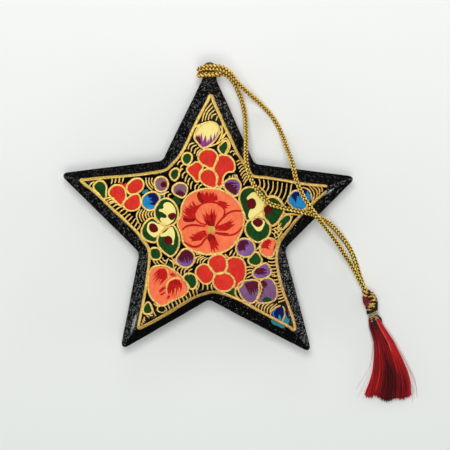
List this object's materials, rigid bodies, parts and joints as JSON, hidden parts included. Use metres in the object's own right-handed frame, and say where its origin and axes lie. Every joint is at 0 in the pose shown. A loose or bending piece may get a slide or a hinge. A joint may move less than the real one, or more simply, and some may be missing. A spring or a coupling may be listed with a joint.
{
  "type": "papier mache star ornament",
  "caption": "Five-pointed hollow papier mache star with a bevelled edge and painted face, hung on a doubled gold cord that ends in a silk tassel.",
  "frame": {"origin": "middle of the star's back, on the surface that it lies on", "axes": "+Z out of the painted face, +Y towards the hanging tip, +X to the right seen from the front"},
  "size_m": [0.108, 0.1046, 0.0121],
  "materials": {
    "lacquer": "black lacquer over gesso, glossy and slightly grainy",
    "paper_strip": "pasted paper under the same black lacquer",
    "gold_cord": "braided metallic gold yarn on a dark core",
    "gold_thread": "metallic gold thread",
    "binding_thread": "dull gold and black thread",
    "silk": "loose silk floss with a soft sheen"
  },
  "bodies": {
    "star": {"front_shell": "lacquer", "back_shell": "lacquer", "seam_strip": "paper_strip"},
    "cord": {"cord_strand_outer": "gold_cord", "cord_hitch": "gold_cord", "cord_strand_inner": "gold_cord"},
    "tassel": {"tassel_head": "silk", "head_wrap": "gold_thread", "neck_binding": "binding_thread", "silk_lock_1": "silk", "silk_lock_2": "silk", "silk_lock_3": "silk", "silk_lock_4": "silk", "silk_lock_5": "silk", "silk_lock_6": "silk", "silk_lock_7": "silk", "silk_lock_8": "silk", "silk_lock_9": "silk"}
  },
  "joints": [
    {"name": "cord_swing", "type": "hinge", "parent": "star", "child": "cord", "pos_m": [0.00046, 0.04176, 0.005], "axis": [-1, 0, 0], "range_deg": [0, 150]},
    {"name": "tassel_swing", "type": "hinge", "parent": "cord", "child": "tassel", "pos_m": [0.04925, -0.0264, 0.00232], "axis": [0, 0, 1], "range_deg": [-30, 30]}
  ]
}
